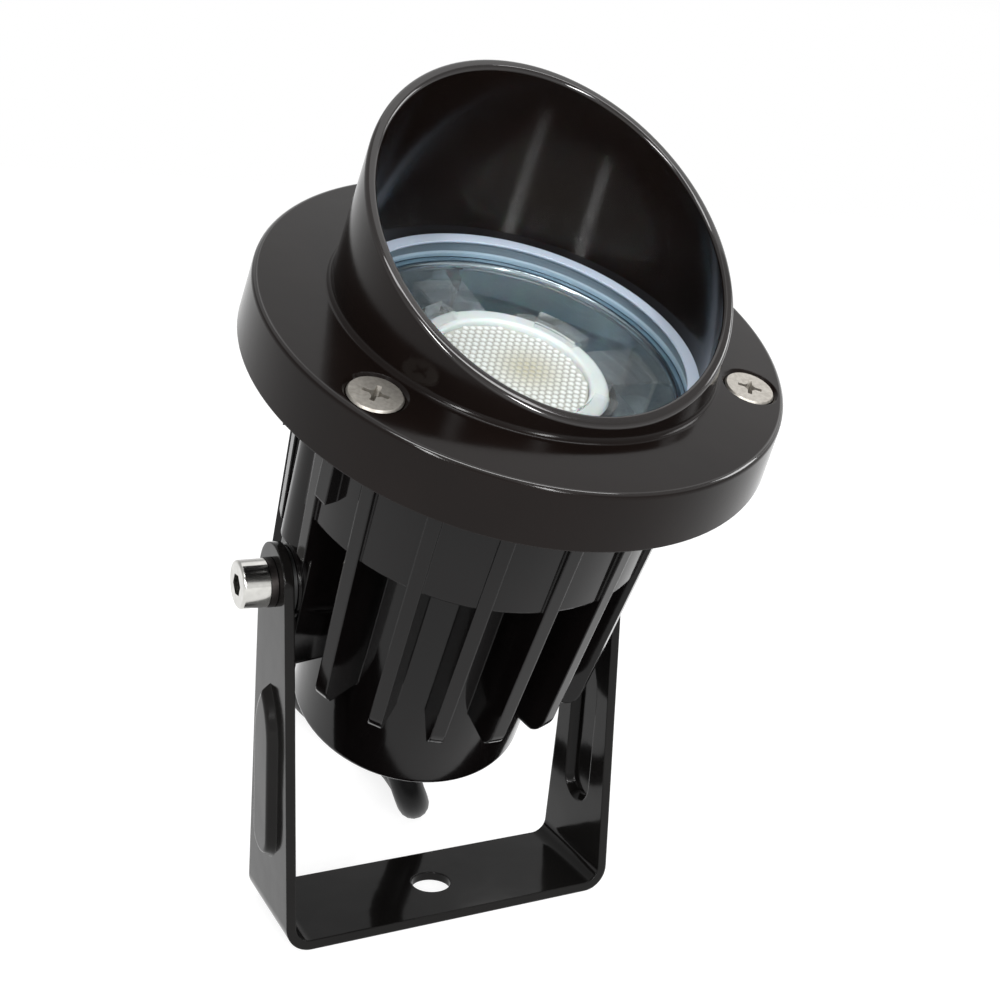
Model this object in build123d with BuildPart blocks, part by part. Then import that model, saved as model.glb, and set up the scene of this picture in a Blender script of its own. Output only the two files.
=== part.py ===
"""Adjustable outdoor spotlight: a finned lamp head that tilts in a U bracket.

Millimetres, +Z up. The origin is the centre of the bracket's fixing hole, on
the underside of its base. X runs along the tilt axis, and the lamp leans
towards -Y. Every piece of the head is drawn upright about its own axis, with
the tilt axis through its origin, and is leaned to its rest angle when written.
"""
import os
from math import atan, cos, degrees, pi, radians, sin, tan

from build123d import *

# Lamp head: heights are measured along its axis from the tilt axis
rest_tilt = 26.2
pivot_height = 57.0
tail_end = -29.8
tail_wall = 2.2
tail_rounding = 1.2
tail_floor = 2.5
collar_bottom = 17.0
collar_wall = 2.7
collar_draft = 0.3

# Cooling fins
fin_count = 18
fin_first_angle = 10.0
fin_bottom = -13.0
fin_proud = 0.9
fin_draft = 1.5
fin_edge_thickness = 2.0
fin_root_thickness = 2.6
fin_corner = 4.0
fin_end_rounding = 0.9

# Clamping ring and its oblique glare shield
ring_bottom = 37.5
ring_height = 8.3
ring_land = 10.0
ring_draft = 0.8
ring_edge_rounding = 1.5
skirt_wall = 1.2
lid_thickness = 3.0
lip_thickness = 2.5
shield_wall = 1.5
shield_draft = 4.4
shield_low = 48.1
shield_high = 70.0
shield_root_fillet = 0.8
shield_rim_fillet = 0.5

# Front glass and its U-shaped gasket
glass_radius = 27.5
glass_cover = 0.8
glass_thickness = 3.0
glass_chamfer = 0.3
gasket_lip = 1.0
gasket_web = 1.3
gasket_top_reach = 3.9
gasket_lip_edge = 0.25
gasket_low_reach = 2.9

# Cover screws (M4, countersunk) on the ring
cover_screw_count = 3
cover_screw_first_angle = 90.0
cover_screw_length = 8.0
cover_head_radius = 3.75
cover_head_angle = 90.0
cover_head_sunk = 0.25
m4_radius = 2.0
cross_width = 1.3
cross_length = 4.2
cross_depth = 1.5
cross_draft = 12.0

# Reflector sleeve, heat spreader plate, light source and lens
ledge_width = 7.4
plate_seat = 24.0
plate_thickness = 3.0
sleeve_wall = 0.8
sleeve_bead = 1.5
plate_screw_count = 4
plate_screw_first_angle = 55.0
plate_screw_inset = 3.8
plate_screw_length = 8.0
m3_radius = 1.5
m3_head_radius = 2.75
m3_head_height = 1.9
lead_hole_radius = 1.7
lead_hole_inset = 2.4
pad_thickness = 0.4
board_clearance = 0.3
board_thickness = 1.6
source_radius = 5.5
source_height = 0.5
lens_radius = 11.2
lens_top = 35.2
lens_flange = 1.2
lens_foot_radius = 5.0
lens_foot_gap = 0.6
cup_wall = 2.9
cup_top = 36.2
cup_ledge = 0.8
cup_rounding = 0.5
lug_count = 4
lug_first_angle = 5.0
lug_width = 8.0
lug_sheet = 1.2
lug_top = 34.8
clip_first_angle = 20.0
clip_arc = 32.0
clip_thickness = 0.8
clip_reach = 2.3

# Driver in the tail
insulator_wall = 0.9
insulator_top = 21.0
guide_wall = 1.1
guide_grip = 1.4
guide_backing = 1.5
driver_thickness = 1.6
driver_bottom = -16.0
driver_top = 20.0
inductor_width = 13.0
inductor_depth = 10.0
inductor_bottom = 1.0
inductor_height = 13.0
inductor_rounding = 1.5
capacitor_radius = 3.5
capacitor_height = 8.0
capacitor_spacing = 8.0
capacitor_level = -6.0
chip_width = 6.0
chip_depth = 2.2
chip_height = 5.0
chip_spacing = 11.0
chip_level = 5.0

# Insulated leads inside the head
lead_radius = 0.65
lead_spacing = 1.7
lead_level = 17.0
lead_bend = 0.9
lead_tail = 3.2
core_radius = 0.95
core_spacing = 2.6
core_bend = 1.5
core_level = -12.5
core_join = -19.5

# Cable gland in the tail
gland_stem_radius = 6.0
gland_stem_inside = 2.5
gland_hex = 14.0
gland_hex_height = 2.4
gland_washer_thickness = 0.9
gland_neck_radius = 5.5
gland_neck_length = 3.4
gland_nut_radius = 6.8
gland_nut_length = 5.7
gland_nut_lip = 1.4
gland_nut_flutes = 12
gland_flute_radius = 0.6
gland_bore_clearance = 0.25
seal_wall = 1.2
seal_length = 5.0

# Tilt joint
boss_radius = 5.5
pillar_radius = 3.2
pillar_proud = 1.1
guard_rib_angle = 17.0
guard_rib_proud = 2.0
guard_rib_width = 2.4
guard_rib_bottom = 23.0
boss_inset = 1.1
flat_depth = 0.4
flat_top = 9.0
friction_washer_radius = 5.2
friction_washer_thickness = 0.6
bolt_length = 10.0
bolt_head_radius = 3.6
bolt_head_height = 4.0
bolt_head_rounding = 0.4
bolt_socket = 3.0
bolt_socket_depth = 2.2
lock_washer_radius = 3.7
lock_washer_thickness = 1.0
lock_washer_slit = 0.6
pivot_hole_radius = 2.3

# Bracket
strip_thickness = 1.5
base_half_width = 9.8
ear_radius = 5.9
bend_radius = 4.0
base_hole_radius = 3.3
rib_bottom = 12.5
rib_top = 41.1
rib_half_width = 4.0
rib_height = 1.4
rib_slope = 30.0
rib_point = 9.0
rib_crest_rounding = 0.8

# Clearances
seat_gap = 0.05
fit_gap = 0.1
side_gap = 0.1

# Cable: diameter and the coil of its spare length
cord_diameter = 5.8
cord_drop = 4.4
bend_share = 0.45
heading_step = 0.02
gap_samples = 900
tie_thickness = 0.6
tie_width = 6.0
tie_slack = 0.5
coil_centre = (38.0, 90.0)
coil_outer_radius = 33.0
coil_turn_step = 7.4
coil_spiral_turns = 1.0
coil_climb_turns = 0.5
coil_turns = 4.75
coil_layer_step = 6.3
core_length = 36.0
core_bare_length = 8.0
core_bare_radius = 0.55

# Worked out from the values above
lean = radians(rest_tilt)
head_axis = Vector(0, -sin(lean), cos(lean))
head_place = Location((0, 0, pivot_height), (rest_tilt, 0, 0))
ring_top = ring_bottom + ring_height
shield_root_radius = glass_radius - glass_cover
ring_top_radius = shield_root_radius + ring_land
ring_bottom_radius = ring_top_radius + ring_draft
cover_screw_circle = shield_root_radius + ring_land / 2
lip_bottom = ring_top - lip_thickness
lid_bottom = ring_top - lid_thickness
gasket_top = lip_bottom - seat_gap
glass_top = gasket_top - gasket_lip - seat_gap
glass_bottom = glass_top - glass_thickness
gasket_bottom = glass_bottom - seat_gap - gasket_lip
gasket_top_inner_radius = glass_radius - gasket_top_reach
gasket_low_inner_radius = glass_radius - gasket_low_reach
gasket_inner_web = glass_radius + fit_gap
gasket_outer_radius = gasket_inner_web + gasket_web
gasket_seat = gasket_bottom - seat_gap
pocket_radius = gasket_outer_radius + fit_gap
flange_radius = ring_top_radius - skirt_wall - fit_gap
flange_top = lid_bottom - fit_gap
flange_bottom = ring_bottom + fit_gap
bore_radius = gasket_low_inner_radius
chamber_radius = bore_radius - ledge_width
tail_radius = chamber_radius + tail_wall
collar_radius = bore_radius + collar_wall
fin_top_radius = collar_radius + collar_draft + fin_proud
fin_bottom_radius = fin_top_radius - fin_draft
pillar_reach = collar_radius + pillar_proud
guard_rib_reach = collar_radius + guard_rib_proud
plate_screw_circle = bore_radius - plate_screw_inset
plate_bottom = plate_seat + seat_gap
plate_top = plate_bottom + plate_thickness
plate_radius = bore_radius - fit_gap
cup_inner_radius = lens_radius + fit_gap
board_radius = cup_inner_radius - cup_ledge - board_clearance
lead_hole_distance = board_radius - lead_hole_inset
boss_half_span = collar_radius - boss_inset
flat_half_span = boss_half_span - flat_depth
bracket_inner = boss_half_span + friction_washer_thickness + 2 * side_gap
bracket_width = 2 * (bracket_inner + strip_thickness)
gland_flange = tail_end - seat_gap - gland_washer_thickness - seat_gap
gland_hex_end = gland_flange - gland_hex_height
gland_end = gland_hex_end - seat_gap - gland_nut_length
cord_radius = cord_diameter / 2
insulator_radius = chamber_radius - fit_gap
chamber_floor = tail_end + tail_floor

os.makedirs("parts", exist_ok=True)


def write_piece(piece, node, place=Location()):
    """Label a finished piece, set it in its place and write its file."""
    placed = piece.part.moved(place)
    placed.label = node
    export_step(placed, "parts/" + node + ".step")


def nearest(outline, radius, height):
    """The corner of a profile nearest to a radius and a height."""
    return outline.vertices().sort_by_distance(Vector(radius, height))[0]


# Bracket: one strip bent to a U, with tapered ears and a pressed rib in each leg
ear_top = pivot_height + ear_radius
with BuildPart() as bracket:
    with BuildSketch(Plane.XZ):
        with BuildLine():
            outer = FilletPolyline(
                (-bracket_width / 2, ear_top),
                (-bracket_width / 2, 0),
                (bracket_width / 2, 0),
                (bracket_width / 2, ear_top),
                radius=bend_radius,
            )
            inner = FilletPolyline(
                (-bracket_inner, ear_top),
                (-bracket_inner, strip_thickness),
                (bracket_inner, strip_thickness),
                (bracket_inner, ear_top),
                radius=bend_radius - strip_thickness,
            )
            Line(outer @ 0, inner @ 0)
            Line(outer @ 1, inner @ 1)
        make_face()
    extrude(amount=base_half_width, both=True)
    with BuildSketch(Plane.YZ):
        with BuildLine():
            left_edge = Line((-base_half_width, 0), (-ear_radius, pivot_height))
            ear = ThreePointArc(left_edge @ 1, (0, ear_top), (ear_radius, pivot_height))
            right_edge = Line(ear @ 1, (base_half_width, 0))
            Line(right_edge @ 1, left_edge @ 0)
        make_face()
    extrude(amount=bracket_width / 2, both=True, mode=Mode.INTERSECT)
    for side in (1, -1):
        leg_face = Plane(origin=(side * bracket_width / 2, 0, 0), x_dir=(0, side, 0), z_dir=(side, 0, 0))
        for face, mode in ((leg_face, Mode.ADD), (leg_face.offset(-strip_thickness), Mode.SUBTRACT)):
            with BuildSketch(face):
                with BuildLine():
                    foot = ThreePointArc(
                        (-rib_half_width, rib_bottom + rib_half_width),
                        (0, rib_bottom),
                        (rib_half_width, rib_bottom + rib_half_width),
                    )
                    right_side = Line(foot @ 1, (rib_half_width, rib_top - rib_point))
                    left_side = Line(foot @ 0, (-rib_half_width, rib_top - rib_point))
                    TangentArc(right_side @ 1, (0, rib_top), tangent=(0, 1))
                    TangentArc(left_side @ 1, (0, rib_top), tangent=(0, 1))
                make_face()
            extrude(amount=rib_height, taper=rib_slope, mode=mode)
        crest = bracket.faces().sort_by(Axis((0, 0, 0), (side, 0, 0)))[-1]
        fillet(crest.edges(), rib_crest_rounding)
    with Locations((0, 0, strip_thickness / 2)):
        Hole(radius=base_hole_radius, depth=strip_thickness)
    with Locations(Location((0, 0, pivot_height), (0, 90, 0))):
        Hole(radius=pivot_hole_radius, depth=bracket_width)
write_piece(bracket, "bracket")

# Fins: a ring of tapered blades, cut to the cone that they fill
fin_reach = fin_top_radius - chamber_radius
fin_slope = degrees(atan(2 * fin_reach / (fin_root_thickness - fin_edge_thickness)))
with BuildPart() as fins:
    with BuildSketch(Plane.XY.offset(fin_bottom)):
        with PolarLocations(0, fin_count, start_angle=fin_first_angle):
            with Locations((chamber_radius, 0)):
                Trapezoid(
                    fin_root_thickness,
                    fin_reach + fin_edge_thickness,
                    fin_slope,
                    rotation=-90,
                    align=(Align.CENTER, Align.MIN),
                )
    extrude(amount=flange_bottom - fin_bottom)
    end_edges = fins.edges().group_by(Axis.Z)[0].filter_by(lambda edge: edge.length > fin_reach)
    fillet(end_edges, fin_end_rounding)
    with BuildSketch(Plane.XZ) as fin_envelope:
        with BuildLine():
            Polyline(
                (0, fin_bottom),
                (fin_bottom_radius, fin_bottom),
                (fin_top_radius, flange_bottom),
                (0, flange_bottom),
                close=True,
            )
        make_face()
        fillet(nearest(fin_envelope, fin_bottom_radius, fin_bottom), fin_corner)
    revolve(axis=Axis.Z, mode=Mode.INTERSECT)

# Cast body: collar, tail and flange, with the fins, pivot bosses and pillars
with BuildPart() as body:
    with BuildSketch(Plane.XZ) as body_outline:
        with BuildLine():
            Polyline(
                (0, tail_end),
                (tail_radius, tail_end),
                (tail_radius, collar_bottom),
                (collar_radius, collar_bottom),
                (collar_radius + collar_draft, flange_bottom),
                (flange_radius, flange_bottom),
                (flange_radius, flange_top),
                (0, flange_top),
                close=True,
            )
        make_face()
        fillet(nearest(body_outline, tail_radius, tail_end), tail_rounding)
    revolve(axis=Axis.Z)
    add(fins.part)
    for side in (0, 180):
        with BuildSketch(Plane.XY):
            with PolarLocations(pillar_reach - pillar_radius, 1, start_angle=side):
                Circle(pillar_radius)
        extrude(amount=flange_bottom)
        with BuildSketch(Plane.XY.offset(guard_rib_bottom)):
            for angle in (side - guard_rib_angle, side + guard_rib_angle):
                with PolarLocations(guard_rib_reach, 1, start_angle=angle):
                    Rectangle(guard_rib_reach - tail_radius, guard_rib_width, align=(Align.MAX, Align.CENTER))
        extrude(amount=flange_bottom - guard_rib_bottom)
    for side in (1, -1):
        with Locations((side * flat_half_span, 0, flat_top)):
            Box(
                fin_top_radius,
                2 * fin_top_radius,
                flat_top - fin_bottom,
                align=(Align.MIN if side > 0 else Align.MAX, Align.CENTER, Align.MAX),
                mode=Mode.SUBTRACT,
            )
    Cylinder(boss_radius, 2 * boss_half_span, rotation=(0, 90, 0))
    with BuildSketch(Plane.XZ):
        with BuildLine():
            Polyline(
                (0, tail_end),
                (gland_stem_radius + seat_gap, tail_end),
                (gland_stem_radius + seat_gap, chamber_floor),
                (chamber_radius, chamber_floor),
                (chamber_radius, plate_seat),
                (bore_radius, plate_seat),
                (bore_radius, gasket_seat),
                (pocket_radius, gasket_seat),
                (pocket_radius, flange_top),
                (0, flange_top),
                close=True,
            )
        make_face()
    revolve(axis=Axis.Z, mode=Mode.SUBTRACT)
    with BuildSketch(Plane.XY.offset(flange_top)):
        with PolarLocations(cover_screw_circle, cover_screw_count, start_angle=cover_screw_first_angle):
            Circle(m4_radius + seat_gap)
    extrude(amount=flange_bottom - flange_top, mode=Mode.SUBTRACT)
    with BuildSketch(Plane.XY.offset(plate_seat)):
        with PolarLocations(plate_screw_circle, plate_screw_count, start_angle=plate_screw_first_angle):
            Circle(m3_radius + seat_gap)
    extrude(amount=plate_thickness - plate_screw_length, mode=Mode.SUBTRACT)
    for side in (1, -1):
        with BuildSketch(Plane.YZ.offset(side * boss_half_span)):
            Circle(m4_radius + seat_gap)
        bolt_reach = bracket_width / 2 + 2 * side_gap + lock_washer_thickness - bolt_length - fit_gap
        extrude(amount=side * (bolt_reach - boss_half_span), mode=Mode.SUBTRACT)
write_piece(body, "heat_sink_body", head_place)

# Clamping ring: lid and skirt over the body's flange, with the glare shield on it
shield_slope = tan(radians(shield_draft))
shield_high_radius = shield_root_radius - shield_slope * (shield_high - ring_top)
shield_low_radius = shield_root_radius - shield_slope * (shield_low - ring_top)
rim_slope = (shield_high - shield_low) / (shield_high_radius + shield_low_radius)
rim_middle = shield_low + rim_slope * shield_low_radius
rim_plane = Plane(origin=(0, 0, rim_middle), x_dir=(1, 0, 0), z_dir=(0, -rim_slope, 1))
tube_end = shield_high + shield_wall
tube_end_radius = shield_root_radius - shield_slope * (tube_end - ring_top)
shield_bore_at_lip = shield_root_radius - shield_wall + shield_slope * lip_thickness
skirt_inner_radius = flange_radius + fit_gap
recess_radius = pocket_radius + fit_gap
with BuildPart() as front_ring:
    with BuildSketch(Plane.XZ):
        with BuildLine():
            Polyline(
                (shield_bore_at_lip, lip_bottom),
                (shield_root_radius, lip_bottom),
                (shield_root_radius, ring_top),
                (tube_end_radius, tube_end),
                (tube_end_radius - shield_wall, tube_end),
                close=True,
            )
        make_face()
    revolve(axis=Axis.Z)
    with BuildSketch(rim_plane):
        Circle(2 * shield_root_radius)
    extrude(amount=tube_end, mode=Mode.SUBTRACT)
    fillet(front_ring.faces().filter_by(rim_plane).edges(), shield_rim_fillet)
    with BuildSketch(Plane.XZ) as ring_outline:
        with BuildLine():
            Polyline(
                (skirt_inner_radius, ring_bottom),
                (ring_bottom_radius, ring_bottom),
                (ring_top_radius, ring_top),
                (shield_root_radius - shield_wall, ring_top),
                (shield_bore_at_lip, lip_bottom),
                (recess_radius, lip_bottom),
                (recess_radius, lid_bottom),
                (skirt_inner_radius, lid_bottom),
                close=True,
            )
        make_face()
        fillet(nearest(ring_outline, ring_top_radius, ring_top), ring_edge_rounding)
    revolve(axis=Axis.Z)
    circles = front_ring.edges().filter_by(GeomType.CIRCLE)
    fillet(circles.sort_by_distance((shield_root_radius, 0, ring_top))[0], shield_root_fillet)
    with Locations(Location((0, 0, ring_top))):
        with PolarLocations(cover_screw_circle, cover_screw_count, start_angle=cover_screw_first_angle):
            CounterSinkHole(
                radius=m4_radius + fit_gap,
                counter_sink_radius=cover_head_radius + cover_head_sunk + fit_gap,
                depth=ring_height,
                counter_sink_angle=cover_head_angle,
            )
write_piece(front_ring, "front_ring", head_place)

# Silicone gasket: a U section that wraps the edge of the glass, its top lip cut back to an edge
with BuildPart() as gasket:
    with BuildSketch(Plane.XZ):
        with BuildLine():
            Polyline(
                (gasket_top_inner_radius, gasket_top),
                (gasket_outer_radius, gasket_top),
                (gasket_outer_radius, gasket_bottom),
                (gasket_low_inner_radius, gasket_bottom),
                (gasket_low_inner_radius, gasket_bottom + gasket_lip),
                (gasket_inner_web, gasket_bottom + gasket_lip),
                (gasket_inner_web, gasket_top - gasket_lip),
                (gasket_top_inner_radius + gasket_lip - gasket_lip_edge, gasket_top - gasket_lip),
                (gasket_top_inner_radius, gasket_top - gasket_lip_edge),
                close=True,
            )
        make_face()
    revolve(axis=Axis.Z)
write_piece(gasket, "front_gasket", head_place)

# Flat front glass
with BuildPart() as glass:
    with BuildSketch(Plane.XY.offset(glass_bottom)):
        Circle(glass_radius)
    extrude(amount=glass_thickness)
    chamfer(glass.edges(), glass_chamfer)
write_piece(glass, "front_glass", head_place)

# Cover screws, just below the top of the ring's countersinks
cover_head_height = (cover_head_radius - m4_radius) / tan(radians(cover_head_angle / 2))
with BuildPart() as cover_screw:
    with BuildSketch(Plane.XZ):
        with BuildLine():
            Polyline(
                (0, 0),
                (cover_head_radius, 0),
                (m4_radius, -cover_head_height),
                (m4_radius, -cover_screw_length),
                (0, -cover_screw_length),
                close=True,
            )
        make_face()
    revolve(axis=Axis.Z)
    with BuildSketch(Plane.XY):
        Rectangle(cross_length, cross_width)
        Rectangle(cross_width, cross_length)
    extrude(amount=-cross_depth, taper=cross_draft, mode=Mode.SUBTRACT)
with BuildPart() as cover_screws:
    with Locations((0, 0, ring_top - cover_head_sunk)):
        with PolarLocations(cover_screw_circle, cover_screw_count, start_angle=cover_screw_first_angle):
            add(cover_screw.part)
write_piece(cover_screws, "cover_screws", head_place)

# Heat spreader plate on the ledge above the driver chamber
with BuildPart() as heat_plate:
    with BuildSketch(Plane.XY.offset(plate_bottom)):
        Circle(plate_radius)
        with PolarLocations(plate_screw_circle, plate_screw_count, start_angle=plate_screw_first_angle):
            Circle(m3_radius + fit_gap, mode=Mode.SUBTRACT)
        with Locations((0, lead_hole_distance)):
            Circle(lead_hole_radius, mode=Mode.SUBTRACT)
    extrude(amount=plate_thickness)
write_piece(heat_plate, "heat_spreader_plate", head_place)

# Plate screws, seated on the plate
with BuildPart() as plate_screw:
    with BuildSketch(Plane.XY):
        Circle(m3_head_radius)
    extrude(amount=m3_head_height)
    fillet(plate_screw.edges().group_by(Axis.Z)[-1], m3_head_height / 2)
    with BuildSketch(Plane.XY):
        Circle(m3_radius)
    extrude(amount=-plate_screw_length)
with BuildPart() as plate_screws:
    with Locations((0, 0, plate_top)):
        with PolarLocations(plate_screw_circle, plate_screw_count, start_angle=plate_screw_first_angle):
            add(plate_screw.part)
write_piece(plate_screws, "plate_screws", head_place)

# Polished sleeve that lines the bore, with a rolled bead at its mouth
sleeve_radius = bore_radius - fit_gap
sleeve_bottom = plate_top + seat_gap
sleeve_top = gasket_bottom - seat_gap
with BuildPart() as sleeve:
    with BuildSketch(Plane.XZ) as sleeve_outline:
        with BuildLine():
            Polyline(
                (sleeve_radius, sleeve_bottom),
                (sleeve_radius, sleeve_top),
                (sleeve_radius - sleeve_bead, sleeve_top),
                (sleeve_radius - sleeve_bead, sleeve_top - sleeve_bead),
                (sleeve_radius - sleeve_wall, sleeve_top - sleeve_bead),
                (sleeve_radius - sleeve_wall, sleeve_bottom),
                close=True,
            )
        make_face()
        bead_corner = sleeve_radius - sleeve_bead
        fillet(nearest(sleeve_outline, bead_corner, sleeve_top), 0.45 * sleeve_bead)
        fillet(nearest(sleeve_outline, bead_corner, sleeve_top - sleeve_bead), 0.45 * sleeve_bead)
    revolve(axis=Axis.Z)
write_piece(sleeve, "reflector_sleeve", head_place)

# Light source: thermal pad, metal-core board and the domed emitter
pad_bottom = plate_top + seat_gap
board_bottom = pad_bottom + pad_thickness + seat_gap
board_top = board_bottom + board_thickness
with BuildPart() as thermal_pad:
    with BuildSketch(Plane.XY.offset(pad_bottom)):
        Circle(board_radius)
        with Locations((0, lead_hole_distance)):
            Circle(lead_hole_radius, mode=Mode.SUBTRACT)
    extrude(amount=pad_thickness)
write_piece(thermal_pad, "thermal_pad", head_place)

with BuildPart() as led_board:
    with BuildSketch(Plane.XY.offset(board_bottom)):
        Circle(board_radius)
        with Locations((0, lead_hole_distance)):
            Circle(lead_hole_radius, mode=Mode.SUBTRACT)
    extrude(amount=board_thickness)
write_piece(led_board, "led_board", head_place)

with BuildPart() as led_source:
    with BuildSketch(Plane.XY.offset(board_top + seat_gap)):
        Circle(source_radius)
    extrude(amount=source_height)
    fillet(led_source.edges().group_by(Axis.Z)[-1], source_height / 2)
write_piece(led_source, "led_emitter", head_place)

# Lens, the cup that holds it and the four-armed clear carrier under the cup
lens_seat = lens_top - lens_flange
lens_foot = board_top + source_height + lens_foot_gap
cup_radius = cup_inner_radius + cup_wall
carrier_inner_radius = cup_radius + fit_gap
with BuildPart() as lens:
    with BuildSketch(Plane.XZ):
        with BuildLine():
            Polyline(
                (0, lens_foot),
                (lens_foot_radius, lens_foot),
                (cup_inner_radius - 2 * cup_ledge, lens_seat),
                (lens_radius, lens_seat),
                (lens_radius, lens_top),
                (0, lens_top),
                close=True,
            )
        make_face()
    revolve(axis=Axis.Z)
write_piece(lens, "lens", head_place)

with BuildPart() as lens_cup:
    with BuildSketch(Plane.XZ) as cup_outline:
        with BuildLine():
            Polyline(
                (cup_inner_radius - cup_ledge, plate_top + seat_gap),
                (cup_radius, plate_top + seat_gap),
                (cup_radius, cup_top),
                (cup_inner_radius, cup_top),
                (cup_inner_radius, lens_seat - seat_gap),
                (cup_inner_radius - cup_ledge, lens_seat - seat_gap),
                close=True,
            )
        make_face()
        fillet(nearest(cup_outline, cup_radius, cup_top), 2 * cup_rounding)
        fillet(nearest(cup_outline, cup_inner_radius, cup_top), cup_rounding)
    revolve(axis=Axis.Z)
write_piece(lens_cup, "lens_cup", head_place)

# Carrier: a clear hub round the cup, with hollow arms out to the sleeve and clips over the cup
carrier_bottom = plate_top + seat_gap
carrier_radius = carrier_inner_radius + lug_sheet
lug_reach = sleeve_radius - sleeve_wall - fit_gap
clip_bottom = cup_top + seat_gap
with BuildPart() as carrier_clip:
    with BuildSketch(Plane.XZ):
        with BuildLine():
            Polyline(
                (carrier_inner_radius, carrier_bottom),
                (carrier_radius, carrier_bottom),
                (carrier_radius, clip_bottom + clip_thickness),
                (cup_radius - clip_reach, clip_bottom + clip_thickness),
                (cup_radius - clip_reach, clip_bottom),
                (carrier_inner_radius, clip_bottom),
                close=True,
            )
        make_face()
    revolve(axis=Axis.Z, revolution_arc=clip_arc)
with BuildPart() as lens_carrier:
    with BuildSketch(Plane.XY.offset(carrier_bottom)):
        Circle(carrier_radius)
        with PolarLocations(0, lug_count, start_angle=lug_first_angle):
            Rectangle(lug_reach, lug_width, align=(Align.MIN, Align.CENTER))
    extrude(amount=lug_top - carrier_bottom)
    with BuildSketch(Plane.XY.offset(carrier_bottom)):
        with PolarLocations(carrier_radius, lug_count, start_angle=lug_first_angle):
            Rectangle(lug_reach, lug_width - 2 * lug_sheet, align=(Align.MIN, Align.CENTER))
    extrude(amount=lug_top - lug_sheet - carrier_bottom, mode=Mode.SUBTRACT)
    with BuildSketch(Plane.XY.offset(carrier_bottom)):
        Circle(carrier_inner_radius)
    extrude(amount=lug_top - carrier_bottom, mode=Mode.SUBTRACT)
    with BuildSketch(Plane.XY.offset(carrier_bottom)):
        Circle(lug_reach)
    extrude(amount=lug_top - carrier_bottom, mode=Mode.INTERSECT)
    with PolarLocations(0, lug_count, start_angle=clip_first_angle):
        add(carrier_clip.part)
write_piece(lens_carrier, "lens_carrier", head_place)

# Insulating liner of the driver chamber, with a slot down each side for the board
insulator_inner_radius = insulator_radius - insulator_wall
insulator_bottom = chamber_floor + seat_gap
driver_half_width = insulator_inner_radius - guide_backing
guide_half_width = driver_thickness / 2 + fit_gap + guide_wall
with BuildPart() as insulator:
    with BuildSketch(Plane.XY.offset(insulator_bottom)):
        Circle(insulator_radius)
    extrude(amount=insulator_top - insulator_bottom)
    with BuildSketch(Plane.XY.offset(insulator_bottom)):
        Circle(insulator_inner_radius)
        for side in (1, -1):
            with Locations((side * (driver_half_width - guide_grip), 0)):
                Rectangle(
                    insulator_radius,
                    2 * guide_half_width,
                    align=(Align.MIN if side > 0 else Align.MAX, Align.CENTER),
                    mode=Mode.SUBTRACT,
                )
    extrude(amount=insulator_top - insulator_bottom, mode=Mode.SUBTRACT)
    with BuildSketch(Plane.XY.offset(driver_bottom - seat_gap)):
        Rectangle(2 * (driver_half_width + fit_gap), driver_thickness + 2 * fit_gap)
    extrude(amount=insulator_top - driver_bottom + seat_gap, mode=Mode.SUBTRACT)
write_piece(insulator, "driver_insulator", head_place)

# Driver board, standing in the liner's slots, and what is soldered to it
board_face = driver_thickness / 2
with BuildPart() as driver_board:
    with BuildSketch(Plane.XY.offset(driver_bottom)):
        Rectangle(2 * driver_half_width, driver_thickness)
    extrude(amount=driver_top - driver_bottom)
write_piece(driver_board, "driver_board", head_place)

with BuildPart() as inductor:
    with BuildSketch(Plane.XZ.offset(board_face)):
        with Locations((0, inductor_bottom + inductor_height / 2)):
            RectangleRounded(inductor_width, inductor_height, inductor_rounding)
    extrude(amount=inductor_depth)
write_piece(inductor, "driver_inductor", head_place)

board_back = Plane(origin=(0, board_face, 0), x_dir=(1, 0, 0), z_dir=(0, 1, 0))
with BuildPart() as capacitors:
    with BuildSketch(board_back):
        for side in (1, -1):
            with Locations((side * capacitor_spacing / 2, -capacitor_level)):
                Circle(capacitor_radius)
    extrude(amount=capacitor_height)
write_piece(capacitors, "driver_capacitors", head_place)

with BuildPart() as chips:
    with BuildSketch(board_back):
        for side in (1, -1):
            with Locations((side * chip_spacing / 2, -chip_level)):
                Rectangle(chip_width, chip_height)
    extrude(amount=chip_depth)
write_piece(chips, "driver_chips", head_place)

# Leads from the driver board up to the light source
lead_rest = board_top + seat_gap + lead_radius
with BuildPart() as led_leads:
    for side in (1, -1):
        lead_x = side * lead_spacing / 2
        with BuildLine():
            lead_path = FilletPolyline(
                (lead_x, board_face, lead_level),
                (lead_x, lead_hole_distance, lead_level),
                (lead_x, lead_hole_distance, lead_rest),
                (lead_x + side * lead_tail, lead_hole_distance, lead_rest),
                radius=lead_bend,
            )
        with BuildSketch(Plane(origin=lead_path @ 0, z_dir=lead_path % 0)):
            Circle(lead_radius)
        sweep(path=lead_path)
write_piece(led_leads, "led_leads", head_place)

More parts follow.
